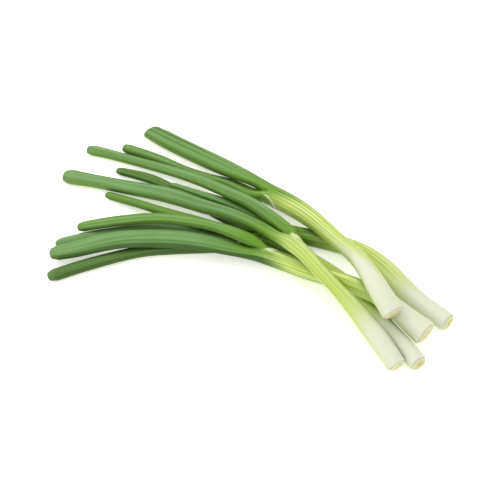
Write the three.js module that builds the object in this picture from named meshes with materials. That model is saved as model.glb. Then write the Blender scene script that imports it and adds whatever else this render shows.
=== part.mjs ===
// A bunch of five trimmed spring onions lying crossed on a table.
// Millimetres, +Z up, table top at z = 0, +X along the bunch towards the root ends.
// Every shank and leaf is a closed loft: rings of a rounded section set along a smooth route.
import * as THREE from 'three';

// Driving dimensions
const SHANK_SIDES = 16;
const LEAF_SIDES = 12;
const RINGS_PER_SPAN = 3;
const JOIN_GAP = 0.35;          // clear space between pieces that grow out of each other
const FLAT_SHARE = 0.94;        // a stem lying on the table is pressed flat by the rest of its half height
const TIP_BLUNTNESS = 0.24;     // length of a leaf's rounded cut end, as a share of its width
const RIM_DEPTH = 1.3;          // rounded rim round the root end of a shank
const RIM_SCALE = 0.86;
const PLATE_DEPTH = 2.0;        // trimmed root plate
const PLATE_SCALE = 0.78;       // root plate's diameter as a share of the shank's root end
const PLATE_STRAIGHT = 0.6;     // share of the plate's depth before its chamfer
const PLATE_FACE = 0.86;        // cut face's diameter as a share of the plate's
const MIDDLE = { x: 0.6, y: 1.3 };  // middle of the bunch's box in the routes' own coordinates

// Each route row is [x, y, z, width, height] of the stem's section, from root end to tip.
// A fork says where a leaf leaves the end of its shank: sideways, upwards, width, height.
const ONIONS = [
  {
    name: 'onion_1',            // lies on top, root end highest
    shank: [
      [119, 5, 25.8, 14.6, 14.6], [105.5, 12.4, 30.6, 14.2, 14.2], [92.5, 22, 30, 12.8, 12.8],
      [78, 32.5, 26.6, 12, 12], [60, 41, 22.4, 11, 11], [36.2, 51.7, 17.8, 12.7, 12.7],
      [14.1, 60.2, 12, 15, 13.8], [-10.9, 66.3, 6.3, 16.4, 12.8],
    ],
    leaves: {
      leaf_1: {
        fork: [4, 0.4, 6.2, 9.2],
        route: [
          [-27.9, 69.8, 8.8, 10, 7.8], [-50.9, 70.6, 7.6, 13.7, 9.6], [-74.1, 72.2, 5.8, 14.8, 10.8],
          [-106, 73.6, 5, 15, 11], [-121.4, 75, 4.6, 13.4, 9.8],
        ],
      },
      leaf_2: {
        fork: [-4.2, -0.5, 7, 8.8],
        route: [
          [-25, 62.6, 2.6, 10.4, 5.2], [-42.1, 62.6, 2.6, 8.9, 5.2], [-58.4, 58.2, 3, 7.8, 6.6],
          [-78.6, 55.7, 3, 7.8, 6.6],
          [-98.9, 55.2, 3, 8, 6.6], [-128, 51.6, 3, 8.2, 6.6],
        ],
      },
    },
  },
  {
    name: 'onion_2',            // lies on the table at the far side
    shank: [
      [148, 30.5, 6.3, 13.2, 13.2], [125.3, 35.6, 6.2, 13.7, 13.2], [109, 41.4, 6.1, 15.2, 13.2],
      [92.9, 47.9, 6.1, 15.4, 13.2], [70.6, 53.2, 5.8, 12.6, 12.6], [40.7, 47.9, 5.8, 12.2, 12.2],
      [19, 41, 5.7, 11.9, 11.9],
    ],
    leaves: {
      leaf_1: {
        fork: [0, -2.9, 8.6, 5],
        route: [
          [2.4, 35.5, 2.5, 6.4, 5.4], [-10.3, 31.8, 2.5, 6.6, 5.4], [-28.8, 31.8, 2.5, 6.6, 5.4],
          [-48.8, 33.5, 2.4, 6.5, 5.2], [-67.7, 35.8, 2.4, 6.5, 5.2],
          [-93.9, 35.5, 2.8, 8.4, 5.6], [-118.8, 30.2, 2.5, 6.6, 5.2],
        ],
      },
      leaf_2: {
        fork: [0, 2.9, 8.6, 5],
        route: [
          [1.9, 40.8, 9, 6.7, 5.4], [-19.5, 41.4, 8.7, 6.7, 5.2], [-35.8, 40.9, 7.9, 6.4, 5.2],
          [-51.5, 38.6, 7.5, 5.8, 5], [-74, 35.5, 7.7, 4.6, 3.9],
        ],
      },
    },
  },
  {
    name: 'onion_3',            // the middle one, with the thickest root end
    shank: [
      [140.9, 11, 11.5, 17.8, 17], [121, 15, 14.6, 13.8, 13.8], [106.5, 17.2, 17, 12.5, 12.5],
      [94.5, 17, 17.8, 11.9, 11.9], [79, 16.4, 16.7, 11.7, 11.7], [51, 15.5, 11.2, 11.9, 11.9],
      [37, 15.2, 9.8, 12, 12], [17, 13, 9.7, 12.4, 12.2],
    ],
    leaves: {
      leaf_1: {
        fork: [3, -3.1, 5.6, 4.4],
        route: [
          [-5.1, 17.4, 11, 5.6, 5.6], [-20.2, 16.8, 10.3, 7.2, 6.6], [-35.7, 14.6, 10.4, 7.4, 6.4],
          [-50.7, 12.1, 9.6, 7.2, 6.2], [-66.1, 9.7, 8.6, 6.9, 6], [-82.6, 8.3, 6.9, 6.4, 5.6],
          [-111.1, 6.3, 2.5, 6.1, 5.4],
        ],
      },
      leaf_2: {
        fork: [3.2, 2.8, 6.6, 5.8],
        route: [
          [7, 14.9, 16, 8.6, 6.4], [-1.7, 13.1, 18.2, 8.9, 6.6], [-17.3, 11.5, 18, 7.7, 6.5],
          [-32, 8.4, 17.2, 7.6, 6.5],
          [-60.2, -0.2, 13.6, 8.3, 6.4], [-85.1, -13.9, 8.9, 8.3, 6.3],
          [-95.5, -23, 8.5, 8, 6.2], [-107.6, -30.8, 5.2, 7.7, 6.3],
        ],
      },
      leaf_3: {
        fork: [-3, 0, 5.7, 9.8],
        route: [
          [-5.2, 5.7, 10.3, 12.9, 7.2], [-25, -1.7, 11.5, 14.2, 8], [-44, -10.8, 12, 14.8, 8.3],
          [-62, -21.5, 11.7, 14.4, 8.1], [-76, -31.2, 10.6, 14.5, 8.1],
          [-96.5, -50.6, 7.9, 13.6, 7.6], [-107.6, -60.5, 6.5, 12.2, 6.8],
        ],
      },
    },
  },
  {
    name: 'onion_4',            // the near one, climbing over onions 3 and 5
    shank: [
      [135.5, -17.3, 6.4, 12.8, 12.8], [118, -9, 11.3, 13.4, 13.4], [97.5, -1, 16.9, 11.4, 11.4],
      [77.3, 5.6, 22.1, 9.4, 9.4], [66.5, 9.3, 23.9, 9.6, 9.6], [46, 18.3, 24.2, 10.4, 10.4],
      [33.5, 22.5, 23.4, 12, 11.4],
    ],
    leaves: {
      leaf_1: {
        fork: [3, 0, 5.7, 9],
        route: [
          [21.8, 32.9, 21.4, 9.3, 8.4], [6.6, 38.8, 18.8, 9.3, 8.2], [-12.6, 44.1, 16.1, 8.8, 8],
          [-30.7, 46.1, 13.5, 8.9, 7.8], [-59.1, 48.8, 8.9, 8.8, 7.2], [-87.4, 47.2, 6, 7.8, 6.6],
          [-125.7, 41.7, 3.1, 7.8, 6.6], [-149.4, 35.7, 3.2, 8.8, 7],
        ],
      },
      leaf_2: {
        fork: [-3, 0, 5.7, 9],
        route: [
          [14.9, 25.2, 19.9, 8.1, 7], [-3.3, 28.6, 16.1, 8.6, 7.6], [-20.5, 29.4, 13.7, 9.2, 8],
          [-43.7, 26.7, 11.6, 10.8, 8.6], [-68.2, 24.6, 9.5, 12.6, 9], [-99.1, 17.7, 6.6, 11.7, 8.4],
          [-125.5, 11.2, 4.4, 10.8, 8.6], [-146.3, 4.3, 4.4, 12.8, 8.8],
        ],
      },
    },
  },
  {
    name: 'onion_5',            // the lowest, flat on the table under the others
    shank: [
      [146.5, -8.3, 5.8, 12.2, 12.2], [132, -0.8, 5.6, 12, 12], [117.5, 6, 5.4, 11.5, 11.5],
      [101.5, 14.2, 5.3, 11.3, 11.3], [85, 21.1, 5.3, 11.4, 11.4], [56, 27.6, 5.2, 11.3, 11.3],
      [29, 29.5, 5.2, 11.1, 11.1], [9.3, 28.2, 5, 10.6, 10.4],
    ],
    leaves: {
      leaf_1: {
        fork: [2.7, 0, 4.9, 8.4],
        route: [
          [-7.3, 22.4, 3.6, 7.4, 5.5], [-21, 17, 2.9, 8.6, 6], [-40, 8.6, 3, 9.4, 6.4],
          [-58.7, -1, 3, 10.6, 6.4], [-91.9, -27.6, 3, 10.4, 6.4], [-112.1, -49.9, 2.7, 9.2, 6],
        ],
      },
      leaf_2: {
        fork: [-2.7, 0, 4.9, 8.4],
        route: [
          [-3.5, 15, 2.6, 7.4, 5.6], [-15, 7.6, 2.9, 8.5, 6.3], [-43.5, -12.2, 3.1, 9.2, 6.9],
          [-59.7, -25.5, 3.1, 9.2, 6.9], [-84.7, -55.5, 3.2, 9.3, 7], [-98.8, -75.6, 3.2, 9.4, 7],
        ],
      },
    },
  },
];

const SHANK_LOOK = { color: '#dfe9b4', roughness: 0.42, metalness: 0 };
const LEAF_LOOK = { color: '#6f9d55', roughness: 0.5, metalness: 0 };
const PLATE_LOOK = { color: '#cfc58c', roughness: 0.75, metalness: 0 };

const UP = new THREE.Vector3(0, 0, 1);

// Centre, section size and directions of the stem at every ring.
function ringsAlong(rows) {
  const path = new THREE.CatmullRomCurve3(rows.map(([x, y, z]) => new THREE.Vector3(x, y, z)));
  const sizes = new THREE.CatmullRomCurve3(
    rows.map(([, , , width, height]) => new THREE.Vector3(width, height, 0)), false, 'catmullrom');
  const count = (rows.length - 1) * RINGS_PER_SPAN;
  const rings = [];
  for (let i = 0; i <= count; i += 1) {
    const t = i / count;
    const size = sizes.getPoint(t);
    rings.push(makeRing(path.getPoint(t), path.getTangent(t), size.x, size.y));
  }
  return rings;
}

function makeRing(centre, along, width, height) {
  const side = new THREE.Vector3().crossVectors(along, UP).normalize();
  const rise = new THREE.Vector3().crossVectors(side, along).normalize();
  const middle = centre.clone();
  middle.z = Math.max(middle.z, FLAT_SHARE * height / 2);
  return { centre: middle, along: along.clone(), side, rise, width, height };
}

// The same ring moved along the stem and drawn in, for a rounded end.
function shiftedRing(ring, distance, scale) {
  const centre = ring.centre.clone().addScaledVector(ring.along, distance);
  return { ...ring, centre, width: ring.width * scale, height: ring.height * scale };
}

function ringPoints(ring, sides) {
  const points = [];
  for (let k = 0; k < sides; k += 1) {
    const angle = -Math.PI / 2 + (k + 0.5) * 2 * Math.PI / sides;
    const point = ring.centre.clone()
      .addScaledVector(ring.side, Math.cos(angle) * ring.width / 2)
      .addScaledVector(ring.rise, Math.sin(angle) * ring.height / 2);
    point.z = Math.max(point.z, 0);
    points.push(point);
  }
  return points;
}

// Skin over the rings, closed by a fan at each end.
function skin(rings, sides, startPoint, endPoint) {
  const points = rings.flatMap((ring) => ringPoints(ring, sides));
  const start = points.push(startPoint) - 1;
  const end = points.push(endPoint) - 1;
  const index = [];
  for (let i = 0; i < rings.length - 1; i += 1) {
    for (let k = 0; k < sides; k += 1) {
      const next = (k + 1) % sides;
      const [a, b] = [i * sides + k, i * sides + next];
      const [c, d] = [a + sides, b + sides];
      index.push(a, c, d, a, d, b);
    }
  }
  const last = (rings.length - 1) * sides;
  for (let k = 0; k < sides; k += 1) {
    const next = (k + 1) % sides;
    index.push(start, k, next, end, last + next, last + k);
  }
  const geometry = new THREE.BufferGeometry();
  geometry.setAttribute('position',
    new THREE.Float32BufferAttribute(points.flatMap((p) => p.toArray()), 3));
  geometry.setIndex(index);
  geometry.computeVertexNormals();
  return geometry;
}

function piece(name, geometry, look) {
  const mesh = new THREE.Mesh(geometry, new THREE.MeshStandardMaterial(look));
  mesh.name = name;
  return mesh;
}

// White to lime shank with a rounded rim at the root end and a plain cut end at the fork.
function shank(onion) {
  const rings = ringsAlong(onion.shank);
  const root = rings[0];
  const rim = shiftedRing(root, -RIM_DEPTH, RIM_SCALE);
  const fork = rings[rings.length - 1];
  const body = skin([rim, ...rings], SHANK_SIDES, rim.centre, fork.centre);
  return { body: piece(`${onion.name}_shank`, body, SHANK_LOOK), root, fork };
}

// Disc that the roots grew from, cut flat by the knife, with a chamfered edge.
function rootPlate(onion, root) {
  const start = -RIM_DEPTH - JOIN_GAP;
  const near = shiftedRing(root, start, PLATE_SCALE);
  const middle = shiftedRing(root, start - PLATE_DEPTH * PLATE_STRAIGHT, PLATE_SCALE);
  const far = shiftedRing(root, start - PLATE_DEPTH, PLATE_SCALE * PLATE_FACE);
  const rings = [far, middle, near];
  return piece(`${onion.name}_root_plate`, skin(rings, SHANK_SIDES, far.centre, near.centre), PLATE_LOOK);
}

// Green leaf from its place on the fork to its rounded, cut tip.
function leaf(onion, name, { fork: [across, lift, width, height], route }, forkRing) {
  const foot = forkRing.centre.clone()
    .addScaledVector(forkRing.along, JOIN_GAP)
    .addScaledVector(forkRing.side, across)
    .addScaledVector(forkRing.rise, lift);
  const rows = [[...foot.toArray(), width, height], ...route];
  const rings = ringsAlong(rows);
  rings[0] = makeRing(foot, forkRing.along, width, height);
  const tip = rings[rings.length - 1];
  const reach = TIP_BLUNTNESS * tip.width;
  for (const angle of [Math.PI / 6, Math.PI / 3]) {
    rings.push(shiftedRing(tip, reach * Math.sin(angle), Math.cos(angle)));
  }
  const point = tip.centre.clone().addScaledVector(tip.along, reach);
  return piece(`${onion.name}_${name}`, skin(rings, LEAF_SIDES, foot, point), LEAF_LOOK);
}

const bunch = new THREE.Group();
for (const onion of ONIONS) {
  const { body, root, fork } = shank(onion);
  bunch.add(body, rootPlate(onion, root));
  for (const [name, shape] of Object.entries(onion.leaves)) {
    bunch.add(leaf(onion, name, shape, fork));
  }
}
bunch.position.set(-MIDDLE.x, -MIDDLE.y, 0);

export default bunch;
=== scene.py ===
import math
from collections import namedtuple

import bmesh
import bpy
import numpy as np
from bpy.props import FloatProperty, FloatVectorProperty, IntProperty, PointerProperty
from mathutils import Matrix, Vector, noise
from mathutils.bvhtree import BVHTree


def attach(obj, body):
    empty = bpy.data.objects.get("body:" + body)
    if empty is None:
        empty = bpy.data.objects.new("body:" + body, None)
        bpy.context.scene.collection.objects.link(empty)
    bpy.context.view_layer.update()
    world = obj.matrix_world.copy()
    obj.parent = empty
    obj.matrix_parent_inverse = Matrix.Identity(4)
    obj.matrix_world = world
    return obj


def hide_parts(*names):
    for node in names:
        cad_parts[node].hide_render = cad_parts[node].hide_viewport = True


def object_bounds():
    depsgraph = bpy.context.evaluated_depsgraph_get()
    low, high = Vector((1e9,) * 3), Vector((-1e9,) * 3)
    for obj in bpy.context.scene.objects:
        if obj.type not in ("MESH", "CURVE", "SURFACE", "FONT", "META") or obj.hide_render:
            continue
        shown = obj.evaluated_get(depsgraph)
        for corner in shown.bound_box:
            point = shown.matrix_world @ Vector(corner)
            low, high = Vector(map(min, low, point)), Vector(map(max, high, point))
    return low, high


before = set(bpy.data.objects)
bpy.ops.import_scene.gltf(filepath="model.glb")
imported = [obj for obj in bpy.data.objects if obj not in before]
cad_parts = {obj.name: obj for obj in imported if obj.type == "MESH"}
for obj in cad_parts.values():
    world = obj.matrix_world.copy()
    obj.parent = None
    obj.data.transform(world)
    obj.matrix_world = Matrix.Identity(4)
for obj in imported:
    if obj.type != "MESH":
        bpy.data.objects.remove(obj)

bl_info = {
    "name": "Spring onion bunch",
    "version": (1, 0, 0),
    "blender": (4, 5, 0),
    "location": "3D View > Sidebar > Spring onions",
    "description": "Skins five trimmed spring onions, lying crossed on a pale floor",
    "category": "Object",
}

CAD_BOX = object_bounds()

MM = 0.001  # the routes below are in millimetres, the scene is in metres
MIDDLE = (0.6, 1.3)  # middle of the bunch's box in the routes' own coordinates
FLAT_SHARE = 0.94  # the rest of a stem's half height is pressed flat on the floor
TIP_BLUNTNESS = 0.24  # length of a leaf's rounded cut end, as a share of its width
RIM_DEPTH = 1.3 * MM  # rounded rim round the root end of a shank
RIM_SCALE = 0.89  # the rim's opening, as a share of the shank's root section
JOIN_GAP = 0.35 * MM  # between a shank's rim and its root plate
PLATE_DEPTH = 2.0 * MM  # trimmed root plate

# A leaf: its fork row [across, lift, width, height] on the shank's end, then its route rows.
Leaf = namedtuple("Leaf", "fork route")
# The free lip of a sheath over the foot of an inner leaf: how many millimetres it lies before the
# fork in the middle of that leaf, how many past it in the notch, how steeply it runs from one to
# the other, how many degrees round it reaches each way, and the depth of its dry pale rim.
Lip = namedtuple("Lip", "back ahead steep turn rim")
# An onion: its shank's rows, its leaves, the leaf whose sheath the shank is, that sheath's lip,
# and how far an inner leaf swells where it comes out.
Onion = namedtuple("Onion", "shank leaves outer lip swell", defaults=(0,))

# Rows are (x, y, z, width, height) of the section, from the root end to the tip. Where it is
# round, its width stands alone.
ONIONS = {
    "onion_1": Onion(
        shank=[
            (119, 5, 25.8, 14.6), (105.5, 12.4, 30.6, 14.2), (92.5, 22, 30, 12.8),
            (78, 32.5, 26.6, 12), (60, 41, 22.4, 11), (36.2, 51.7, 17.8, 12.7),
            (14.1, 60.2, 12, 15, 13.8), (-10.9, 66.3, 6.3, 16.4, 12.8),
        ],
        leaves={"leaf_1": Leaf((4, 0.4, 6.2, 9.2), [
            (-27.9, 69.8, 8.8, 10, 7.8), (-50.9, 70.6, 7.6, 13.7, 9.6),
            (-74.1, 72.2, 5.8, 14.8, 10.8), (-106, 73.6, 5, 15, 11), (-121.4, 75, 4.6, 13.4, 9.8),
        ]), "leaf_2": Leaf((-4.2, -0.5, 7, 8.8), [
            (-25, 62.6, 2.6, 10.4, 5.2), (-42.1, 62.6, 2.6, 8.9, 5.2), (-58.4, 58.2, 3, 7.8, 6.6),
            (-78.6, 55.7, 3, 7.8, 6.6), (-98.9, 55.2, 3, 8, 6.6), (-128, 51.6, 3, 8.2, 6.6),
        ])},
        outer="leaf_1", lip=Lip(12.5, -1.5, 4, 82, 1.8),
    ),
    "onion_2": Onion(
        shank=[
            (148, 30.5, 6.3, 13.2), (125.3, 35.6, 6.2, 13.7, 13.2), (109, 41.4, 6.1, 15.2, 13.2),
            (92.9, 47.9, 6.1, 15.4, 13.2), (70.6, 53.2, 5.8, 12.6), (40.7, 47.9, 5.8, 12.2),
            (19, 41, 5.7, 11.9),
        ],
        leaves={"leaf_1": Leaf((0, -2.9, 8.6, 5), [
            (2.4, 35.5, 2.5, 6.4, 5.4), (-10.3, 31.8, 2.5, 6.6, 5.4),
            (-28.8, 31.8, 2.5, 6.6, 5.4), (-48.8, 33.5, 2.4, 6.5, 5.2),
            (-67.7, 35.8, 2.4, 6.5, 5.2), (-93.9, 35.5, 2.8, 8.4, 5.6),
            (-118.8, 30.2, 2.5, 6.6, 5.2),
        ]), "leaf_2": Leaf((0, 2.9, 8.6, 5), [
            (1.9, 40.8, 9, 6.7, 5.4), (-19.5, 41.4, 8.7, 6.7, 5.2), (-35.8, 40.9, 7.9, 6.4, 5.2),
            (-51.5, 38.6, 7.5, 5.8, 5), (-74, 35.5, 7.7, 4.6, 3.9),
        ])},
        outer="leaf_1", lip=Lip(5, 3, 2, 90, 0),
    ),
    "onion_3": Onion(
        shank=[
            (140.9, 11, 11.5, 17.8, 17), (121, 15, 14.6, 13.8), (106.5, 17.2, 17, 12.5),
            (94.5, 17, 17.8, 11.9), (79, 16.4, 16.7, 11.7), (51, 15.5, 11.2, 11.9),
            (37, 15.2, 9.8, 12), (17, 13, 9.7, 12.4, 12.2),
        ],
        leaves={"leaf_1": Leaf((3, -3.1, 5.6, 4.4), [
            (-5.1, 17.4, 11, 5.6), (-20.2, 16.8, 10.3, 7.2, 6.6), (-35.7, 14.6, 10.4, 7.4, 6.4),
            (-50.7, 12.1, 9.6, 7.2, 6.2), (-66.1, 9.7, 8.6, 6.9, 6), (-82.6, 8.3, 6.9, 6.4, 5.6),
            (-111.1, 6.3, 2.5, 6.1, 5.4),
        ]), "leaf_2": Leaf((3.2, 2.8, 6.6, 5.8), [
            (7, 14.9, 16, 8.6, 6.4), (-1.7, 13.1, 18.2, 8.9, 6.6), (-17.3, 11.5, 18, 7.7, 6.5),
            (-32, 8.4, 17.2, 7.6, 6.5), (-60.2, -0.2, 13.6, 8.3, 6.4),
            (-85.1, -13.9, 8.9, 8.3, 6.3), (-95.5, -23, 8.5, 8, 6.2),
            (-107.6, -30.8, 5.2, 7.7, 6.3),
        ]), "leaf_3": Leaf((-3, 0, 5.7, 9.8), [
            (-5.2, 5.7, 10.3, 12.9, 7.2), (-25, -1.7, 11.5, 14.2, 8), (-44, -10.8, 12, 14.8, 8.3),
            (-62, -21.5, 11.7, 14.4, 8.1), (-76, -31.2, 10.6, 14.5, 8.1),
            (-96.5, -50.6, 7.9, 13.6, 7.6), (-107.6, -60.5, 6.5, 12.2, 6.8),
        ])},
        outer="leaf_3", lip=Lip(4.6, 3, 2.2, 75, 2.5),
    ),
    "onion_4": Onion(
        shank=[
            (135.5, -17.3, 6.4, 12.8), (118, -9, 11.3, 13.4), (97.5, -1, 16.9, 11.4),
            (77.3, 5.6, 22.1, 9.4), (66.5, 9.3, 23.9, 9.6), (46, 18.3, 24.2, 10.4),
            (33.5, 22.5, 23.4, 12, 11.4),
        ],
        leaves={"leaf_1": Leaf((3, 0, 5.7, 9), [
            (21.8, 32.9, 21.4, 9.3, 8.4), (6.6, 38.8, 18.8, 9.3, 8.2),
            (-12.6, 44.1, 16.1, 8.8, 8), (-30.7, 46.1, 13.5, 8.9, 7.8),
            (-59.1, 48.8, 8.9, 8.8, 7.2), (-87.4, 47.2, 6, 7.8, 6.6),
            (-125.7, 41.7, 3.1, 7.8, 6.6), (-149.4, 35.7, 3.2, 8.8, 7),
        ]), "leaf_2": Leaf((-3, 0, 5.7, 9), [
            (14.9, 25.2, 19.9, 8.1, 7), (-3.3, 28.6, 16.1, 8.6, 7.6), (-20.5, 29.4, 13.7, 9.2, 8),
            (-43.7, 26.7, 11.6, 10.8, 8.6), (-68.2, 24.6, 9.5, 12.6, 9),
            (-99.1, 17.7, 6.6, 11.7, 8.4), (-125.5, 11.2, 4.4, 10.8, 8.6),
            (-146.3, 4.3, 4.4, 12.8, 8.8),
        ])},
        outer="leaf_2", lip=Lip(2.5, 2.5, 2.2, 140, 3.2), swell=0.9,
    ),
    "onion_5": Onion(
        shank=[
            (146.5, -8.3, 5.8, 12.2), (132, -0.8, 5.6, 12), (117.5, 6, 5.4, 11.5),
            (101.5, 14.2, 5.3, 11.3), (85, 21.1, 5.3, 11.4), (56, 27.6, 5.2, 11.3),
            (29, 29.5, 5.2, 11.1), (9.3, 28.2, 5, 10.6, 10.4),
        ],
        leaves={"leaf_1": Leaf((2.7, 0, 4.9, 8.4), [
            (-7.3, 22.4, 3.6, 7.4, 5.5), (-21, 17, 2.9, 8.6, 6), (-40, 8.6, 3, 9.4, 6.4),
            (-58.7, -1, 3, 10.6, 6.4), (-91.9, -27.6, 3, 10.4, 6.4), (-112.1, -49.9, 2.7, 9.2, 6),
        ]), "leaf_2": Leaf((-2.7, 0, 4.9, 8.4), [
            (-3.5, 15, 2.6, 7.4, 5.6), (-15, 7.6, 2.9, 8.5, 6.3), (-43.5, -12.2, 3.1, 9.2, 6.9),
            (-59.7, -25.5, 3.1, 9.2, 6.9), (-84.7, -55.5, 3.2, 9.3, 7),
            (-98.8, -75.6, 3.2, 9.4, 7),
        ])},
        outer="leaf_2", lip=Lip(4, 3, 2, 90, 0),
    ),
}


# ---- smooth routes and their sections

UP = np.array((0.0, 0.0, 1.0))
ROUTE_STEPS = 60  # samples in each span of a route
TANGENT_STEP = 1e-4  # share of a route over which its direction is taken


def spline(points, t, centripetal):
    """The point at share t of a Catmull-Rom curve through the points."""
    spans = len(points) - 1
    i = min(int(t * spans), spans - 1)
    w = t * spans - i
    p1, p2 = points[i], points[i + 1]
    p0 = points[i - 1] if i > 0 else 2 * p1 - p2
    p3 = points[i + 2] if i + 2 <= spans else 2 * p2 - p1
    if centripetal:
        d0, d1, d2 = (np.linalg.norm(b - a) ** 0.5 for a, b in ((p0, p1), (p1, p2), (p2, p3)))
        out = ((p1 - p0) / d0 - (p2 - p0) / (d0 + d1) + (p2 - p1) / d1) * d1
        into = ((p2 - p1) / d1 - (p3 - p1) / (d1 + d2) + (p3 - p2) / d2) * d1
    else:
        out, into = (p2 - p0) / 2, (p3 - p1) / 2
    return (p1 + out * w + (3 * (p2 - p1) - 2 * out - into) * w ** 2
            + (2 * (p1 - p2) + out + into) * w ** 3)


def unit(v):
    return v / np.linalg.norm(v, axis=-1, keepdims=True)


def smooth(value, low, high):
    """0 below low, 1 above high, and an even S between them."""
    t = np.clip((value - low) / (high - low), 0, 1)
    return t * t * (3 - 2 * t)


def blend(a, b, share):
    """All a at share 0, all b at share 1."""
    return a * (1 - share) + b * share


class Loft:
    """The sections of a stem along its route, looked up by the distance run from its start."""

    def __init__(self, rows):
        rows = np.array(rows, float)
        spans = len(rows) - 1
        shares = np.linspace(0, 1, spans * ROUTE_STEPS + 1)

        def route(step):
            places = np.clip(shares + step, 0, 1)
            return np.array([spline(rows[:, :3], t, True) for t in places])

        self.centre = route(0)
        self.along = unit(route(TANGENT_STEP) - route(-TANGENT_STEP))
        self.half = np.array([spline(rows[:, 3:], t, False) for t in shares]) / 2
        self.centre[:, 2] = np.maximum(self.centre[:, 2], FLAT_SHARE * self.half[:, 1])
        steps = np.linalg.norm(np.diff(self.centre, axis=0), axis=1)
        self.run = np.concatenate(([0], np.cumsum(steps)))
        self.length = self.run[-1]

    def at(self, run):
        """Centre, along, side, rise and half sizes; the stem goes straight on past its ends."""
        inside = np.clip(run, 0, self.length)

        def look_up(table):
            return np.stack([np.interp(inside, self.run, column) for column in table.T], axis=-1)

        along = unit(look_up(self.along))
        side = unit(np.cross(along, UP))
        rise = np.cross(side, along)
        centre = look_up(self.centre) + along * (run - inside)[..., None]
        return centre, along, side, rise, look_up(self.half)


def placed(rows):
    """Route rows in metres, with the middle of the bunch at the origin."""
    middle = (*MIDDLE, 0, 0, 0)
    return [tuple((v - m) * MM for v, m in zip((*row, row[-1]), middle)) for row in rows]


BLEND_MARGIN = 2 * MM  # the section starts to change this far below the sheath's edge
OUTER_BLEND = 14 * MM  # this far past the fork the outer leaf has its own section
INNER_BLEND = 6 * MM  # and an inner leaf, that comes out of the shank


class Stem:
    """One leaf with the shank below it: the shank's round section turns into the leaf's own."""

    def __init__(self, onion, name):
        self.shank = Loft(placed(onion.shank))
        self.fork = self.shank.length
        leaf = onion.leaves[name]
        self.across, self.lift, width, height = (v * MM for v in leaf.fork)
        self.foot_half = np.array((width, height)) / 2
        centre, _, side, rise, _ = (v[0] for v in self.shank.at(np.array([self.fork])))
        foot = centre + side * self.across + rise * self.lift
        self.leaf = Loft([(*foot, width, height)] + placed(leaf.route))
        self.length = self.fork + self.leaf.length
        self.blend_back = onion.lip.back * MM + BLEND_MARGIN
        self.blend_ahead = OUTER_BLEND if name == onion.outer else INNER_BLEND
        # direction from the middle of the fork to this leaf, in the section
        self.toward = math.atan2(self.lift, self.across)

    def section(self, run):
        """Centre, along, side, rise and half sizes of the leaf, down inside the shank too."""
        shank = self.shank.at(run)
        leaf = self.leaf.at(np.maximum(run - self.fork, 0))
        inside = (run < self.fork)[..., None]
        foot = shank[0] + shank[2] * self.across + shank[3] * self.lift
        below = (foot, *shank[1:4], self.foot_half)
        return shank, [np.where(inside, a, b) for a, b in zip(below, leaf)]

    def surface(self, run, angle, grow):
        """Points of the skin at distances run, angles round the section and extra thickness grow,
        with the middle of the stem there and the direction along it."""
        shank, own = self.section(run)
        share = smooth(run, self.fork - self.blend_back, self.fork + self.blend_ahead)[..., None]
        points = [
            centre
            + side * (np.cos(angle) * (half[..., 0] + grow))[..., None]
            + rise * (np.sin(angle) * (half[..., 1] + grow))[..., None]
            for centre, _, side, rise, half in (shank, own)]
        along = unit(blend(shank[1], own[1], share))
        return blend(*points, share), blend(shank[0], own[0], share), along


STEMS = {(o, n): Stem(onion, n) for o, onion in ONIONS.items() for n in onion.leaves}


# ---- blanks, made as by hand

def deselect():
    if bpy.context.object and bpy.context.object.mode != "OBJECT":
        bpy.ops.object.mode_set(mode="OBJECT")
    bpy.ops.object.select_all(action="DESELECT")


def pick(*pieces):
    """Selects these pieces and nothing else. The last one is active."""
    deselect()
    for piece in pieces:
        piece.select_set(True)
    bpy.context.view_layer.objects.active = piece


def select_in_edit(piece, kind, test):
    """Selects the edges or faces for which test is true, and nothing else."""
    bpy.ops.mesh.select_mode(type=kind)
    bpy.ops.mesh.select_all(action="DESELECT")
    mesh = bmesh.from_edit_mesh(piece.data)
    for element in mesh.edges if kind == "EDGE" else mesh.faces:
        if test(element):
            element.select_set(True)
    mesh.select_flush_mode()
    bmesh.update_edit_mesh(piece.data)


def tube_blank(name, sides, spans, cap_rings):
    """A closed upright cylinder of unit radius and height, cut into spans, its ends into rings."""
    deselect()
    bpy.ops.mesh.primitive_cylinder_add(
        vertices=sides, radius=1, depth=1, end_fill_type="NGON", location=(0, 0, 0.5))
    bpy.ops.object.transform_apply()
    piece = bpy.context.object
    piece.name = piece.data.name = name
    bpy.ops.object.mode_set(mode="EDIT")
    select_in_edit(piece, "EDGE", lambda e: abs(e.verts[0].co.z - e.verts[1].co.z) > 0.5)
    bpy.ops.mesh.subdivide(number_cuts=spans - 1)
    for end in (0, 1):
        select_in_edit(
            piece, "FACE",
            lambda f: len(f.verts) > 4 and abs(f.calc_center_median().z - end) < 0.1)
        for _ in range(cap_rings):
            bpy.ops.mesh.inset(thickness=1 / (cap_rings + 1))
        bpy.ops.mesh.poke()
    bpy.ops.object.mode_set(mode="OBJECT")
    return piece


def vertices_of(piece):
    co = np.empty(len(piece.data.vertices) * 3)
    piece.data.vertices.foreach_get("co", co)
    return co.reshape(-1, 3)


def coordinates(piece):
    """Height up the blank, angle round it and distance from its axis, for every vertex."""
    x, y, z = vertices_of(piece).T
    return np.clip(z, 0, 1), np.arctan2(y, x), np.clip(np.hypot(x, y), 0, 1)


END = 1e-6  # closer than this to a blank's end counts as on it
EDGE = 1e-4  # and this to its outer edge


def end_faces(height, reach):
    """Which vertices lie inside the lower and inside the upper end of a blank."""
    inner = reach < 1 - EDGE
    return (height < END) & inner, (height > 1 - END) & inner


def put(piece, points):
    """Moves the vertices to their places and leaves none under the floor or outside the box."""
    low, high = (np.array(corner) for corner in CAD_BOX)
    points = np.clip(points, low, high)
    piece.data.vertices.foreach_set("co", points.ravel())
    piece.data.update()


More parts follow.
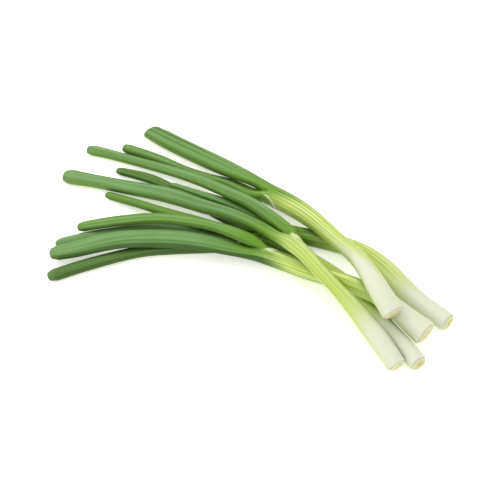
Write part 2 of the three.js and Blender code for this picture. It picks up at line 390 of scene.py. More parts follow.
def mark(piece, name, values):
    """Stores a number or a vector at every vertex for the materials to read."""
    kind, key = ("FLOAT_VECTOR", "vector") if values.ndim == 2 else ("FLOAT", "value")
    piece.data.attributes.new(name, kind, "POINT").data.foreach_set(key, values.ravel())


def mark_grain(piece, run, angle):
    """Stores the distance run along the stem and the turn round it."""
    mark(piece, "grain", np.stack((run, np.cos(angle), np.sin(angle)), axis=-1))


PAINTED_SHADE_REACH = 6 * MM  # how near another stem must be for its painted crease shade to show in the skin's colour


def mark_painted_crease_shade(piece, node):
    """Marks painted crease shade: how near other stems come to the skin, from 0 at the reach to 1
    where they touch.
    """
    onion, part = node.split("_", 2)[1:]
    corners, faces = [], []
    for name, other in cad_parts.items():
        other_onion, other_part = name.split("_", 2)[1:]
        grown_together = other_onion == onion and "shank" in (part, other_part)
        if name == node or grown_together or other_part == "root_plate":
            continue
        first = len(corners)
        corners += [vertex.co for vertex in other.data.vertices]
        faces += [[first + i for i in polygon.vertices] for polygon in other.data.polygons]
    tree = BVHTree.FromPolygons(corners, faces)
    found = (tree.find_nearest(vertex.co, PAINTED_SHADE_REACH)[3] for vertex in piece.data.vertices)
    gap = np.array([PAINTED_SHADE_REACH if d is None else d for d in found])
    mark(piece, "crease", 1 - gap / PAINTED_SHADE_REACH)


def finish_piece(piece, angle, node, slot, material):
    """Smooth shading, outward faces, one material, and its place in the frame."""
    pick(piece)
    bpy.ops.object.mode_set(mode="EDIT")
    bpy.ops.mesh.select_all(action="SELECT")
    bpy.ops.mesh.normals_make_consistent(inside=False)
    bpy.ops.object.mode_set(mode="OBJECT")
    bpy.ops.object.shade_smooth_by_angle(angle=math.radians(angle))
    piece.data.materials.clear()
    piece.data.materials.append(material)
    if slot != "root_plate":
        # marks where painted crease shade goes, by nearness to other stems
        mark_painted_crease_shade(piece, node)
    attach(piece, "root")
    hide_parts(node)


# ---- the form of skins

NOISE_GAIN = 1.6  # brings the noise to about -1 to 1


def wander(run, angle, stretch, turn, seed):
    """Soft even noise over a skin, about -1 to 1, long along the stem and closed round it."""
    c, s = np.cos(angle) * turn, np.sin(angle) * turn
    return np.array([
        noise.noise(Vector((a * stretch, b + seed, d)), noise_basis="PERLIN_ORIGINAL")
        for a, b, d in zip(run, c, s)]) * NOISE_GAIN


def seed_of(text):
    return sum((i + 3) * ord(letter) for i, letter in enumerate(text)) % 97


RIBS_FROM, RIBS_FULL = 0.25, 0.6  # shares of the shank between which its ribs rise
RIBS_LEFT = 0.15  # share of the ribs that is there on the white end


def shank_relief(run, angle, fork, settings, seed):
    """Soft ribs that rise out of the smooth white end, and a gentle unevenness."""
    drift = 0.5 * wander(run, angle, 18, 0.8, seed)
    sway = 2.2 * drift + 6 * wander(run, angle, 2, 2.5, seed + 5)
    wave = np.cos(settings.shank_ribs * angle + sway)
    growing = smooth(run, RIBS_FROM * fork, RIBS_FULL * fork)
    return (settings.rib_depth * wave * (RIBS_LEFT + (1 - RIBS_LEFT) * growing)
            + settings.unevenness * drift)


def leaf_relief(run, angle, settings, seed):
    """Broad shallow flutes along a hollow leaf."""
    drift = wander(run, angle, 22, 0.9, seed)
    flutes = wander(run, angle, 3, 2.6, seed + 9)
    return settings.unevenness * drift + settings.flute_depth * flutes


# ---- materials

class Nodes:
    """Short ways to lay down and join shader nodes. Colour is what has been laid down so far."""

    def __init__(self, name):
        self.colour = None
        self.material = bpy.data.materials.new(name)
        self.material.use_nodes = True
        self.tree = self.material.node_tree
        self.tree.nodes.clear()

    def add(self, kind, inputs=(), **values):
        """A new node with its properties set and its inputs fed, in order or by name."""
        node = self.tree.nodes.new("ShaderNode" + kind)
        for key, value in values.items():
            setattr(node, key, value)
        for place, value in inputs.items() if isinstance(inputs, dict) else enumerate(inputs):
            if isinstance(value, bpy.types.NodeSocket):
                self.tree.links.new(value, node.inputs[place])
            else:
                node.inputs[place].default_value = value
        return node

    def math(self, operation, *values, clamp=False):
        return self.add("Math", values, operation=operation, use_clamp=clamp).outputs[0]

    def times(self, product, *others):
        """The product of one or more values."""
        for other in others:
            product = self.math("MULTIPLY", product, other)
        return product

    def plus(self, a, b):
        return self.math("ADD", a, b)

    def minus(self, a, b):
        return self.math("SUBTRACT", a, b)

    def attribute(self, name, output="Fac"):
        return self.add("Attribute", attribute_name=name).outputs[output]

    def noise(self, vector, scale=1.0, detail=2.0, roughness=0.5):
        return self.add("TexNoise", {
            "Vector": vector, "Scale": scale, "Detail": detail, "Roughness": roughness,
        }).outputs["Fac"]

    def band(self, value, low, high, to_low=0.0, to_high=1.0):
        """Maps low..high to to_low..to_high along an S, held past its ends."""
        inputs = (value, low, high, to_low, to_high)
        return self.add("MapRange", inputs, interpolation_type="SMOOTHSTEP").outputs[0]

    def tint(self, colour, *shares):
        """Mixes a colour into what has been laid down, by the product of its shares."""
        inputs = {0: self.times(*shares), 6: self.colour, 7: rgba(colour)}
        self.colour = self.add("Mix", inputs, data_type="RGBA").outputs[2]

    def ramp(self, value, stops):
        node = self.add("ValToRGB", (value,))
        elements = node.color_ramp.elements
        while len(elements) < len(stops):
            elements.new(0.5)
        for element, (place, colour) in zip(elements, stops):
            element.position = place
            element.color = rgba(colour)
        return node.outputs[0]

    def shade(self, values):
        """Adds the surface shader, with a value or a link for each of its inputs that is named."""
        shader = self.add("BsdfPrincipled", values)
        self.add("OutputMaterial", {"Surface": shader.outputs[0]})
        return self.material

    def flesh(self, roughness, height, relief, flesh, depth, gloss):
        """Plant flesh in the colour laid down, with fine relief, that lets some light in."""
        bump = self.add("Bump", {"Strength": 1.0, "Distance": relief, "Height": height})
        return self.shade({
            "Base Color": self.colour, "Roughness": roughness, "Specular IOR Level": gloss,
            "Subsurface Weight": flesh, "Subsurface Radius": FLESH_HUES, "Subsurface Scale": depth,
            "Normal": bump.outputs[0]})


def rgba(colour):
    return (*colour[:3], 1.0)


# Distances in millimetres from the root end at which a sheath reaches each colour of its run,
# then how far that run is put off on the right flank of the stem.
Run = namedtuple("Run", "white pale lime deep green right")
RUNS = {
    "onion_1": Run(28, 50, 78, 106, 133, -26),
    "onion_2": Run(26, 48, 64, 92, 118, 0),
    "onion_3": Run(26, 42, 66, 112, 124, 10),
    "onion_4": Run(24, 44, 66, 108, 122, 0),
    "onion_5": Run(30, 46, 60, 100, 124, 0),
}
# A leaf's own green: its share of yellow green, of dark green all over (painted shade on leaves
# that lie under others), of waxy bloom on its crown (partly a painted highlight), of painted shade
# in dark green on its left and right flanks, and the strength of its broad stripes.
Tone = namedtuple("Tone", "yellow dark bloom left right stripes")
TONES = {
    "onion_1_leaf_1": Tone(0.35, 0.00, 0.45, 0.25, 0.50, 1.0),
    "onion_1_leaf_2": Tone(0.55, 0.00, 0.45, 0.60, 0.30, 0.5),
    "onion_2_leaf_1": Tone(0.75, 0.45, 0.00, 0.90, 0.80, 0.9),
    "onion_2_leaf_2": Tone(0.30, 0.15, 0.45, 0.60, 0.40, 0.6),
    "onion_3_leaf_1": Tone(0.70, 0.15, 0.10, 0.50, 0.20, 0.4),
    "onion_3_leaf_2": Tone(0.60, 0.00, 0.50, 0.45, 0.20, 0.5),
    "onion_3_leaf_3": Tone(0.25, 0.00, 0.80, 0.90, 0.00, 0.7),
    "onion_4_leaf_1": Tone(0.40, 0.00, 0.90, 0.10, 0.20, 0.5),
    "onion_4_leaf_2": Tone(0.25, 0.00, 1.00, 0.25, 0.15, 0.7),
    "onion_5_leaf_1": Tone(0.10, 0.00, 1.00, 0.35, 0.00, 0.4),
    "onion_5_leaf_2": Tone(0.35, 0.60, 0.10, 0.75, 0.50, 0.5),
}
INNER_RUN = (60, 45, 30, 20, 4)  # an inner leaf's run of colour, back from its fork
TURNING = 45 * MM  # from the end of that run a leaf turns this long to its own green
BROAD_PUSH = 14 * MM  # how far broad streaks push the run of colour along the stem
LINE_PUSH = 20 * MM  # and how far fine lines do
SEED_STEP = 0.37  # metres of noise between one seed and the next
SHADE_FROM, SHADE_FULL = 18 * MM, 42 * MM  # the run along the stem over which painted crease shade comes in
FLESH_HUES = (1.0, 0.9, 0.4)  # how far red, green and blue light go in, as shares of a depth
STEM_DEPTH = 6 * MM  # how far light goes into a stem
PLATE_GLOW_DEPTH = 3 * MM  # and into a root plate
FIBRE_RELIEF = 0.12 * MM  # height of a root plate's fibres


def stem_look(settings, name, run, length, tone, glow, seed):
    """Skin of a sheath or leaf. It follows the stem: white, then lime with fine lengthwise lines,
    then green with a waxy bloom, with painted shade on its flanks and in creases. Grain holds the
    distance run and the turn round the stem."""
    n = Nodes(name)
    run = Run(*(value * MM for value in run))
    s, c, t = n.add("SeparateXYZ", (n.attribute("grain", "Vector"),)).outputs
    shifted = n.plus(s, seed * SEED_STEP)

    def streaks(per_metre, round_it, **more):
        """Noise drawn out along the stem, closed round it."""
        place = (n.times(shifted, per_metre), n.times(c, round_it), n.times(t, round_it))
        return n.noise(n.add("CombineXYZ", place).outputs[0], **more)

    broad = streaks(9.0, 1.6)
    stripes = streaks(5.0, 2.2, detail=1.2)
    lines = streaks(5.0, 13.0, detail=2.0, roughness=0.6)
    veins = streaks(11.0, 17.0, roughness=0.6)
    mottle = streaks(60.0, 1.2, detail=3.0)

    # how far the colour has run: pushed about by broad streaks and by the lean of the sheath
    pushed = n.plus(s, n.times(n.minus(broad, 0.5), BROAD_PUSH))
    pushed = n.plus(pushed, n.times(n.minus(lines, 0.5), LINE_PUSH))
    pushed = n.minus(pushed, n.times(c, run.right))
    # tone.dark is painted shade: leaves that lie under others are darkened toward deep green
    own_green = blend(blend(settings.leaf, settings.fresh, tone.yellow), settings.deep, tone.dark)
    paints = (settings.white, settings.pale, settings.lime, settings.lime, settings.fresh)
    stops = [(reached / length, paint) for reached, paint in zip(run, paints)]
    stops.append((min((run.green + TURNING) / length, 0.99), own_green))
    n.colour = n.ramp(n.math("DIVIDE", pushed, length, clamp=True), stops)

    # painted shade on the flanks: lime below the white, sap green beside the lime, where less
    # light falls
    side = n.times(c, 0.35)
    left = n.plus(t, side)
    right = n.minus(t, side)
    n.tint(settings.lime, n.band(left, 0.35, -0.5), n.band(s, 0.0, run.pale, 0.4, 0.8),
           n.band(s, run.lime, run.deep, 1.0, 0.0))
    painted_side_shade = n.math("MAXIMUM", n.band(right, 0.75, 0.1), n.times(n.band(left, 0.2, -0.4), 0.8))
    n.tint(settings.sap, painted_side_shade, n.band(s, run.pale, run.lime + 20 * MM, 0.0, 0.6))

    # fine pale and dark lines, absent on the white end and faint on the leaf
    strength = n.times(n.band(s, run.white, run.lime),
                       n.band(s, run.deep, run.green + 15 * MM, 1.0, 0.1))
    n.tint(settings.streak, n.band(lines, 0.52, 0.58), strength, 0.85)
    n.tint(settings.sap, n.band(lines, 0.46, 0.40), strength, 0.75)

    # painted shade as dark green on the leaf's flanks, with its real dark stripes, then waxy bloom
    # on the crown, all on the green alone
    green = n.band(pushed, run.deep, run.green + 12 * MM)
    uneven = n.times(n.minus(stripes, 0.5), 0.6)
    painted_flank_shade = n.math("MAXIMUM",
                   n.band(n.plus(left, uneven), 0.5, 0.15, 0.0, tone.left),
                   n.band(n.plus(right, uneven), 0.5, 0.15, 0.0, tone.right))
    stripe = n.times(n.band(stripes, 0.50, 0.38), tone.stripes * 0.6)
    n.tint(settings.deep, n.math("MAXIMUM", painted_flank_shade, stripe), green)
    # the bloom is the leaf's own colour, kept to the upward crown, where it also stands as a
    # painted highlight
    n.tint(settings.bloom, n.band(t, 0.1, 0.95), n.band(stripes, 0.36, 0.62, 0.35, 1.0),
           n.band(mottle, 0.3, 0.7, 0.6, 1.0),
           n.band(s, run.green + 4 * MM, run.green + 50 * MM), tone.bloom * 0.8)
    n.tint(settings.deep, n.band(veins, 0.46, 0.3), green, 0.3)

    # painted crease shade: where another stem lies close, the white and lime turn sap green and
    # the green goes deep
    crease = n.attribute("crease")
    # close is the mask of painted crease shade
    close = n.times(n.band(crease, 0.35, 0.95), n.band(s, SHADE_FROM, SHADE_FULL, 0.15, 1.0))
    n.tint(settings.sap, close, n.band(green, 0.0, 1.0, settings.painted_shade_sap, 0.0))
    n.tint(settings.deep, close, n.times(green, settings.painted_shade_green))

    # the sheath's free lip is dry and pale in streaks, the cut tips are greyer
    lip = n.attribute("lip")
    n.tint(settings.dry_lip, n.band(n.plus(lip, n.times(lines, 1.6)), 1.0, 1.55),
           n.band(lip, 0.0, 0.3, 0.0, 0.75))
    n.tint(settings.dry, n.attribute("tip"), 0.5)

    roughness = n.plus(n.times(mottle, 0.16), 0.42)
    height = n.plus(n.times(lines, 0.6), n.times(veins, 0.4))
    flesh = n.band(s, run.lime, run.deep, glow, settings.leaf_glow)
    return n.flesh(roughness, height, settings.vein_bump, flesh, STEM_DEPTH, 0.32)


def plate_look(settings, name):
    """Cut root plate: beige, fibrous, with darker specks where roots were."""
    n = Nodes(name)
    place = n.add("TexCoord").outputs["Object"]
    fibres = n.noise(place, scale=900.0, detail=4.0, roughness=0.65)
    patches = n.noise(place, scale=260.0, detail=2.0)
    n.colour = rgba(settings.plate)
    n.tint(settings.plate_pale, n.band(patches, 0.35, 0.65))
    n.tint(settings.plate_dark, n.band(fibres, 0.5, 0.3), 0.45)
    n.tint(settings.white, n.attribute("edge"), 0.55)
    return n.flesh(0.65, fibres, FIBRE_RELIEF, settings.shank_glow, PLATE_GLOW_DEPTH, 0.3)


def floor_look(stage):
    """Milky sheet, lit a little from below, as on a light table."""
    return Nodes("floor_sheet").shade({
        "Base Color": rgba(stage.floor_colour), "Roughness": 0.8,
        "Emission Color": (1.0, 1.0, 1.0, 1.0), "Emission Strength": stage.floor_glow})


# ---- settings

LENGTH = {"min": 0, "subtype": "DISTANCE", "unit": "LENGTH", "precision": 5}
SHARE = {"min": 0, "max": 1, "subtype": "FACTOR"}
POWER = {"min": 0, "unit": "POWER"}


def setting(name, description, default, **limits):
    return FloatProperty(name=name, description=description, default=default, **limits)


def colour_setting(name, description, default):
    return FloatVectorProperty(
        name=name, description=description, default=default, size=3, min=0, max=1,
        subtype="COLOR")


class SPRINGONION_PG_skin(bpy.types.PropertyGroup):
    """Sizes and colours of shanks and leaves."""

    shank_sides: IntProperty(
        name="Shank sides", description="Faces round a shank", default=144, min=24, max=256)
    leaf_sides: IntProperty(
        name="Leaf sides", description="Faces round a leaf", default=80, min=16, max=256)
    span: setting("Span", "Length of one face along a stem", 1.3 * MM, **LENGTH)
    shank_ribs: IntProperty(
        name="Shank ribs", description="Soft ribs round a shank", default=27, min=0, max=60)
    rib_depth: setting("Rib depth", "Half the height of a shank's ribs", 0.05 * MM, **LENGTH)
    flute_depth: setting("Flute depth", "Depth of the flutes along a leaf", 0.16 * MM, **LENGTH)
    unevenness: setting(
        "Unevenness", "How far stems stray from an even section", 0.22 * MM, **LENGTH)
    lip_thickness: setting("Lip thickness", "Of a sheath's free edge", 0.32 * MM, **LENGTH)
    vein_bump: setting("Vein relief", "Height of the finest lengthwise lines", 0.07 * MM, **LENGTH)
    shank_glow: setting("Shank glow", "Share of light that enters a shank", 0.9, **SHARE)
    leaf_glow: setting("Leaf glow", "Share of light that enters a leaf", 0.1, **SHARE)
    # painted crease shade: how far shanks turn sap green and leaves deep green where stems lie
    # close
    painted_shade_sap: setting(
        "Sap in creases", "How far a shank turns sap green where stems lie close", 0.85, **SHARE)
    painted_shade_green: setting(
        "Deep green in creases", "How far a leaf turns deep green where stems lie close", 0.85,
        **SHARE)
    white: colour_setting("White", "Root end of a shank", (0.635, 0.658, 0.61))
    dry_lip: colour_setting("Lip", "Dry free edge of a sheath", (0.68, 0.75, 0.5))
    pale: colour_setting("Pale lime", "Where the white starts to turn", (0.53, 0.61, 0.27))
    lime: colour_setting("Lime", "Upper part of a shank", (0.44, 0.56, 0.11))
    streak: colour_setting("Pale streak", "Palest lines on the lime", (0.64, 0.72, 0.42))
    # sap green colours the real darker lines, and it is also the colour of painted shade on shank
    # flanks and in creases
    sap: colour_setting("Sap green", "Darker lines on the lime", (0.2, 0.34, 0.012))
    fresh: colour_setting("Fresh green", "Foot of a young leaf", (0.125, 0.28, 0.007))
    leaf: colour_setting("Leaf green", "Leaves", (0.09, 0.205, 0.04))
    # bloom is the leaves' own wax, laid on the crown where it also stands as a painted highlight
    bloom: colour_setting("Bloom", "Waxy bloom on the leaves", (0.19, 0.345, 0.165))
    # deep green colours the real stripes and veins, and it is also the colour of painted shade on
    # leaf flanks, in creases and on shaded leaves
    deep: colour_setting("Deep green", "Flanks, dark stripes and veins", (0.018, 0.062, 0.003))
    dry: colour_setting("Dry edge", "Cut tips of the leaves", (0.12, 0.2, 0.08))
    plate: colour_setting("Root plate", "Cut root plate", (0.5, 0.47, 0.22))
    plate_pale: colour_setting("Root plate, pale", "Paler patches on it", (0.56, 0.54, 0.28))
    plate_dark: colour_setting("Root plate, dark", "Fibres and root scars", (0.48, 0.43, 0.16))


class SPRINGONION_PG_stage(bpy.types.PropertyGroup):
    """Floor, light and camera."""

    floor_size: setting("Floor size", "Side of the square floor", 6.0, **LENGTH)
    floor_colour: colour_setting("Floor", "Colour of the floor", (0.85, 0.85, 0.85))
    floor_glow: setting("Floor glow", "Light that comes up through the floor", 0.42, min=0)
    key_power: setting("Key light", "Power of the soft light behind the bunch", 9.5, **POWER)
    fill_power: setting("Fill light", "Power of the soft light beside the camera", 5.5, **POWER)
    side_power: setting("Side light", "Power of the soft light on the root ends", 5.0, **POWER)
    sky: setting("Sky", "Strength of the surround", 0.7, min=0)
    sky_colour: colour_setting("Sky colour", "Colour of the surround", (1.0, 0.98, 0.74))
    azimuth: setting(
        "Azimuth", "Camera's turn round the bunch", math.radians(32), subtype="ANGLE")
    elevation: setting(
        "Elevation", "Camera's height above the horizon", math.radians(50), subtype="ANGLE")
    distance: setting("Distance", "Camera to the point it looks at", 0.8264, **LENGTH)
    lens: setting("Lens", "Focal length in millimetres", 85.0, min=1)
    target: FloatVectorProperty(
        name="Target", description="Point on the floor that the camera looks at",
        default=(2.4 * MM, 17.3 * MM, 0.0), size=3, subtype="XYZ", unit="LENGTH")


# ---- pieces

ROOT_CURL = 0.4  # share of the root end's rings that make its rounded rim
CUP_DEPTH = 0.6 * MM  # how far the root end is cupped round its plate
CAP_DISH = 0.5 * MM  # the hidden faces at a fork are dished, so that they never touch
CAP_RINGS = 9  # rings of faces on each end of a stem
STEM_EDGE = 40  # in degrees, where faces meet more sharply the shading breaks
PLATE_EDGE = 50  # the same on a root plate
LIP_DROP = 0.36 * MM  # an inner leaf is this much thinner inside its sheath


def lip_run(lip, fork, angle, toward):
    """Where the sheath's free edge lies: back over the inner leaf, ahead in the notch."""
    turned = np.clip((1 - np.cos(angle - toward)) / 2 * lip.steep, 0, 1)
    return fork + (-lip.back + (lip.back + lip.ahead) * turned) * MM


def make_shank(settings, onion_name, look):
    """A shank from its cupped root end to its fork, with the free lips of its sheath."""
    onion = ONIONS[onion_name]
    stem = STEMS[onion_name, onion.outer]
    spans = int(stem.fork / settings.span)
    piece = tube_blank(onion_name + "_shank_skin", settings.shank_sides, spans, CAP_RINGS)
    height, angle, reach = coordinates(piece)
    run = height * stem.fork
    grow = shank_relief(run, angle, stem.fork, settings, seed_of(onion_name))
    grow = grow * smooth(reach, 0.5, 1.0)
    skin, middle, along = stem.surface(run, angle, grow)
    inward = 1 - reach
    root_end, fork_end = end_faces(height, reach)
    curl = np.clip(inward / ROOT_CURL, 0, 1) * math.pi / 2
    flat = np.clip((inward - ROOT_CURL) / (1 - ROOT_CURL), 0, 1)
    shrink = np.where(root_end, (RIM_SCALE + (1 - RIM_SCALE) * np.cos(curl)) * (1 - flat), 1.0)
    shrink = np.where(fork_end, reach, shrink)
    push = np.where(root_end, -RIM_DEPTH * np.sin(curl) + CUP_DEPTH * smooth(flat, 0, 0.5), 0.0)
    push = np.where(fork_end, -CAP_DISH * (1 - reach ** 2), push)
    put(piece, middle + (skin - middle) * shrink[:, None] + along * push[:, None])
    mark_grain(piece, run, angle)
    mark(piece, "lip", np.zeros(len(run)))
    for leaf in onion.leaves:
        if leaf != onion.outer:
            join_lip(settings, piece, onion, onion_name, leaf)
    finish_piece(piece, STEM_EDGE, onion_name + "_shank", "shank", look)


LIP_ROOT = 6 * MM  # how far below its edge the lip comes out of the shank
LIP_COLUMNS, LIP_ROWS = 56, 26
LIP_RISE = 0.15 * MM  # it stands this far off the inner leaf
LIP_SINK = 0.5 * MM  # and starts this deep in the shank
LIP_FLANK = 0.72  # share of its half width from which it sinks in again
FRILL = 0.12 * MM  # how far its edge waves
DRY_FROM, DRY_FULL = 3.2, 0.2  # below the edge, in rims, where the lip dries and is dry
DRY_TURN, DRY_GONE = 55, 120  # degrees round the inner leaf where it stops being dry
SWELL_START = 3 * MM  # an inner leaf swells over this length each way from the edge
SWELL_HELD, SWELL_END = 6 * MM, 22 * MM  # past the edge it is fully swollen, then slim again


def inner_swell(onion, stem, run, angle):
    """Extra girth of an inner leaf where it comes out of the sheath."""
    edge = lip_run(onion.lip, stem.fork, angle, stem.toward)
    rising = smooth(run, edge - SWELL_START, edge + SWELL_START)
    return onion.swell * MM * rising * smooth(run, edge + SWELL_END, edge + SWELL_HELD)


def join_lip(settings, shank, onion, onion_name, leaf_name):
    """The free edge of the sheath, a thin curved flap over the foot of an inner leaf."""
    stem = STEMS[onion_name, leaf_name]
    deselect()
    bpy.ops.mesh.primitive_grid_add(x_subdivisions=LIP_COLUMNS, y_subdivisions=LIP_ROWS, size=2)
    flap = bpy.context.object
    flap.name = flap.data.name = onion_name + "_lip"
    u, v, _ = vertices_of(flap).T
    angle = stem.toward + u * math.radians(onion.lip.turn)
    edge = lip_run(onion.lip, stem.fork, angle, stem.toward)
    start = stem.fork - onion.lip.back * MM - LIP_ROOT
    up = (v + 1) / 2
    run = start + (edge - start) * up
    frill = FRILL * wander(run, angle, 60, 3, seed_of(leaf_name))
    grow = (-LIP_SINK + (LIP_SINK + LIP_RISE) * smooth(up, 0, 0.5)
            - (LIP_SINK + LIP_RISE) * smooth(np.abs(u), LIP_FLANK, 1.0)
            + frill * smooth(up, 0.6, 1))
    skin, _, _ = stem.surface(run, angle, grow + inner_swell(onion, stem, run, angle))
    put(flap, skin)
    mark_grain(flap, run, angle)
    rim = onion.lip.rim * MM
    dry = smooth(run, edge - DRY_FROM * rim, edge - DRY_FULL * rim) if rim else 0 * run
    dry = dry * smooth(np.abs(u), 1.0, 0.6)
    dry = dry * smooth(np.abs(u) * onion.lip.turn, DRY_GONE, DRY_TURN)
    mark(flap, "lip", dry)
    pick(flap)
    wall = flap.modifiers.new("wall", "SOLIDIFY")
    wall.thickness = settings.lip_thickness
    wall.offset = 0
    bpy.ops.object.modifier_apply(modifier=wall.name)
    put(flap, vertices_of(flap))
    pick(flap, shank)
    bpy.ops.object.join()


HIDDEN_FOOT = 8 * MM  # an inner leaf starts this far below its lip, inside the sheath
RIBS_OUT = 18 * MM  # the shank's ribs run out over this length of the outer leaf
DROP_BACK = 4 * MM  # an inner leaf is full again this far past the sheath's edge
TIP_ZONE = 5 * MM  # length of the dry edge of a cut tip
RELIEF_ZONE = 6 * MM  # before the tip a leaf's relief is evened out
RELIEF_LEFT = 0.3  # to this share of it
DRAW_ZONE = 4 * MM  # length over which a tip is drawn in
TIP_DRAW = 0.2  # how much a tip is drawn in before its rounded end
TIP_CORNER = 0.95  # below 1 a cut tip is flatter, with a rounder corner
TIP_SLANT = {"onion_1_leaf_1": 0.38}  # how far a slanting cut leans, in half widths
SLANT_ZONE = 14 * MM  # length of leaf that the slant draws along


def make_leaf(settings, onion_name, leaf_name, look):
    """A hollow leaf from its shank's fork, or from inside the sheath, to its cut tip."""
    onion = ONIONS[onion_name]
    stem = STEMS[onion_name, leaf_name]
    is_outer = leaf_name == onion.outer
    start = stem.fork if is_outer else stem.fork - onion.lip.back * MM - HIDDEN_FOOT
    sides = settings.shank_sides if is_outer else settings.leaf_sides
    spans = int((stem.length - start) / settings.span)
    name = f"{onion_name}_{leaf_name}"
    piece = tube_blank(name + "_skin", sides, spans, CAP_RINGS)
    height, angle, reach = coordinates(piece)
    run = start + height * (stem.length - start)
    grow = leaf_relief(run, angle, settings, seed_of(name))
    if is_outer:
        # carries on exactly from the shank's last ring
        ribs = shank_relief(run, angle, stem.fork, settings, seed_of(onion_name))
        share = smooth(run, stem.fork, stem.fork + RIBS_OUT)
        grow = blend(ribs, grow, share)
    else:
        edge = lip_run(onion.lip, stem.fork, angle, stem.toward)
        grow = grow - LIP_DROP * (1 - smooth(run, edge, edge + DROP_BACK))
        grow = grow + inner_swell(onion, stem, run, angle)
    near_tip = smooth(run, stem.length - RELIEF_ZONE, stem.length)
    grow = grow * (1 - (1 - RELIEF_LEFT) * near_tip)
    skin, middle, along = stem.surface(run, angle, grow)
    foot_end, tip_end = end_faces(height, reach)
    round_off = reach * math.pi / 2
    draw = 0 if name in TIP_SLANT else TIP_DRAW
    drawn = 1 - draw * smooth(run, stem.length - DRAW_ZONE, stem.length) ** 2
    skin = middle + (skin - middle) * drawn[:, None]
    shrink = np.where(tip_end, np.sin(round_off) ** TIP_CORNER, np.where(foot_end, reach, 1.0))
    half_width = stem.leaf.half[-1][0]
    push = np.where(tip_end, TIP_BLUNTNESS * 2 * half_width * np.cos(round_off) ** TIP_CORNER, 0.0)
    push = np.where(foot_end, CAP_DISH * (1 - reach ** 2), push)
    # a slanting cut takes more off one flank
    cut_off = TIP_SLANT.get(name, 0) * half_width * (1 + np.cos(angle) * shrink)
    push = push - cut_off * smooth(run, stem.length - SLANT_ZONE, stem.length)
    put(piece, middle + (skin - middle) * shrink[:, None] + along * push[:, None])
    mark_grain(piece, run, angle)
    mark(piece, "tip", smooth(run + push, stem.length - TIP_ZONE, stem.length + 1 * MM))
    finish_piece(piece, STEM_EDGE, name, "leaf", look)


PLATE_SIDES, PLATE_SPANS, PLATE_RINGS = 96, 10, 26
PLATE_FLARE = 0.875  # the plate fills the shank's rounded rim
PLATE_TAPER = 0.14  # its cut face is this much narrower
TAPER_CURVE = 1.5  # 1 is a straight taper, more keeps it to the cut end
PLATE_SHOULDER = 1.3 * MM  # height of the dome on the cut face
DOME_CURVE = 2.4  # 2 is a round dome, more has a flatter middle
STUBS = 19  # cut roots
STUB_HEIGHT, STUB_RADIUS = 0.16 * MM, 0.5 * MM
STUB_SPREAD = 0.7  # share of the plate's width that they stand on
GOLDEN_ANGLE = math.pi * (3 - math.sqrt(5))


def make_plate(onion_name, look):
    """Domed disc with the cut stubs of roots, cupped in the shank's root end."""
    onion = ONIONS[onion_name]
    shank = STEMS[onion_name, onion.outer].shank
    piece = tube_blank(onion_name + "_root_plate_skin", PLATE_SIDES, PLATE_SPANS, PLATE_RINGS)
    height, angle, reach = coordinates(piece)
    centre, along, side, rise, half = (v[0] for v in shank.at(np.zeros(1)))
    near, far = -RIM_DEPTH + CUP_DEPTH, -RIM_DEPTH - JOIN_GAP - PLATE_DEPTH
    down = 1 - height  # the blank's lower end is the cut face
    wide = PLATE_FLARE * half[0]
    radius = wide * (1 - PLATE_TAPER * down ** TAPER_CURVE)
    across = radius * reach * np.cos(angle)
    up = radius * reach * np.sin(angle)
    depth = near + (far + PLATE_SHOULDER - near) * down
    cut = down > 1 - END
    dome = PLATE_SHOULDER * (1 - reach ** DOME_CURVE)
    for k in range(STUBS):
        ring = math.sqrt((k + 0.5) / STUBS) * wide * STUB_SPREAD
        turn = k * GOLDEN_ANGLE + seed_of(onion_name)
        a, b = ring * math.cos(turn), ring * math.sin(turn)
        away = ((across - a) ** 2 + (up - b) ** 2) / STUB_RADIUS ** 2
        stub = STUB_HEIGHT * np.exp(-away ** 2) - STUB_HEIGHT / 4
        dome = dome + stub * smooth(reach, 1.0, 0.8)
    depth = depth - np.where(cut, dome, 0)
    put(piece, centre + side * across[:, None] + rise * up[:, None] + along * depth[:, None])
    mark(piece, "edge", np.where(cut, smooth(reach, 0.45, 1.0), 1.0))
    finish_piece(piece, PLATE_EDGE, onion_name + "_root_plate", "root_plate", look)


class SPRINGONION_OT_shanks(bpy.types.Operator):
    """Makes the five shanks with the free lips of their sheaths"""

    bl_idname = "spring_onion.shanks"
    bl_label = "Shanks"

    def execute(self, context):
        settings = context.scene.spring_onion_skin
        for name, onion in ONIONS.items():
            stem = STEMS[name, onion.outer]
            look = stem_look(settings, name + "_sheath", RUNS[name], stem.length,
                             TONES[f"{name}_{onion.outer}"], settings.shank_glow, seed_of(name))
            make_shank(settings, name, look)
        return {"FINISHED"}


class SPRINGONION_OT_leaves(bpy.types.Operator):
    """Makes the eleven green leaves"""

    bl_idname = "spring_onion.leaves"
    bl_label = "Leaves"

    def execute(self, context):
        settings = context.scene.spring_onion_skin
        for name, onion in ONIONS.items():
            for leaf in onion.leaves:
                stem = STEMS[name, leaf]
                if leaf == onion.outer:
                    look = bpy.data.materials[name + "_sheath"]
                else:
                    run = Run(*(stem.fork / MM - back for back in INNER_RUN), 0)
                    title = f"{name}_{leaf}"
                    look = stem_look(settings, title, run, stem.length, TONES[title],
                                     settings.leaf_glow, seed_of(name + leaf))
                make_leaf(settings, name, leaf, look)
        return {"FINISHED"}


class SPRINGONION_OT_root_plates(bpy.types.Operator):
    """Makes the five cut root plates"""

    bl_idname = "spring_onion.root_plates"
    bl_label = "Root plates"

    def execute(self, context):
        look = plate_look(context.scene.spring_onion_skin, "root_plate_flesh")
        for name in ONIONS:
            make_plate(name, look)
        return {"FINISHED"}


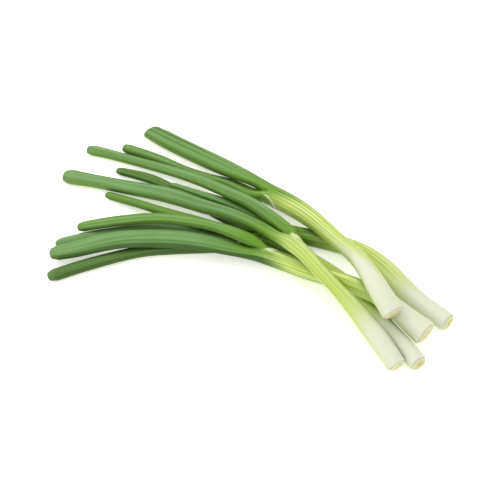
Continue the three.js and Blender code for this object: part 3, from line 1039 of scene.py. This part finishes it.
# Soft lights: turn round the bunch and height in degrees, distance and size in metres.
Light = namedtuple("Light", "azimuth elevation distance size")
LIGHTS = {
    "key": Light(252, 58, 1.3, 1.3),
    "fill": Light(340, 45, 1.6, 1.4),
    "side": Light(65, 35, 1.5, 1.2),
}


def direction(azimuth, elevation):
    """From the bunch towards a light or the camera, one metre long."""
    return Vector((math.sin(azimuth) * math.cos(elevation),
                   -math.cos(azimuth) * math.cos(elevation), math.sin(elevation)))


def aim(name, back):
    """Names the light or camera that was just added and turns it to the bunch."""
    made = bpy.context.object
    made.name = name
    made.rotation_euler = (-back).to_track_quat("-Z", "Y").to_euler()
    return made


class SPRINGONION_OT_stage(bpy.types.Operator):
    """Adds the floor, the soft light and the camera"""

    bl_idname = "spring_onion.stage"
    bl_label = "Stage"

    def execute(self, context):
        scene = context.scene
        stage = scene.spring_onion_stage
        deselect()
        bpy.ops.mesh.primitive_plane_add(size=stage.floor_size)
        floor = context.object
        floor.name = floor.data.name = "floor"
        floor.data.materials.append(floor_look(stage))

        scene.world = bpy.data.worlds.new("pale_surround")
        scene.world.use_nodes = True
        background = scene.world.node_tree.nodes["Background"]
        background.inputs["Color"].default_value = rgba(stage.sky_colour)
        background.inputs["Strength"].default_value = stage.sky

        target = Vector(stage.target)
        for name, light in LIGHTS.items():
            back = direction(math.radians(light.azimuth), math.radians(light.elevation))
            bpy.ops.object.light_add(type="AREA", location=target + back * light.distance)
            lamp = aim(name, back).data
            lamp.shape = "DISK"
            lamp.size = light.size
            lamp.energy = getattr(stage, name + "_power")

        back = direction(stage.azimuth, stage.elevation)
        bpy.ops.object.camera_add(location=target + back * stage.distance)
        scene.camera = aim("camera", back)
        scene.camera.data.lens = stage.lens
        scene.camera.data.clip_start = 0.01
        scene.view_settings.view_transform = "Standard"
        return {"FINISHED"}


class SPRINGONION_PT_panel(bpy.types.Panel):
    """Sidebar panel with the settings and the steps in order"""

    bl_idname = "SPRINGONION_PT_panel"
    bl_label = "Spring onion bunch"
    bl_space_type = "VIEW_3D"
    bl_region_type = "UI"
    bl_category = "Spring onions"

    def draw(self, context):
        for group in (context.scene.spring_onion_skin, context.scene.spring_onion_stage):
            box = self.layout.box()
            for name in group.__annotations__:
                box.prop(group, name)
        for step in STEPS:
            self.layout.operator(step.bl_idname)


STEPS = (
    SPRINGONION_OT_shanks, SPRINGONION_OT_leaves, SPRINGONION_OT_root_plates, SPRINGONION_OT_stage,
)
CLASSES = (SPRINGONION_PG_skin, SPRINGONION_PG_stage, *STEPS, SPRINGONION_PT_panel)


def register():
    for cls in CLASSES:
        bpy.utils.register_class(cls)
    bpy.types.Scene.spring_onion_skin = PointerProperty(type=SPRINGONION_PG_skin)
    bpy.types.Scene.spring_onion_stage = PointerProperty(type=SPRINGONION_PG_stage)


def unregister():
    del bpy.types.Scene.spring_onion_skin
    del bpy.types.Scene.spring_onion_stage
    for cls in reversed(CLASSES):
        bpy.utils.unregister_class(cls)


def main():
    register()
    bpy.ops.spring_onion.shanks()
    bpy.ops.spring_onion.leaves()
    bpy.ops.spring_onion.root_plates()
    bpy.ops.spring_onion.stage()


if __name__ == "__main__":
    main()
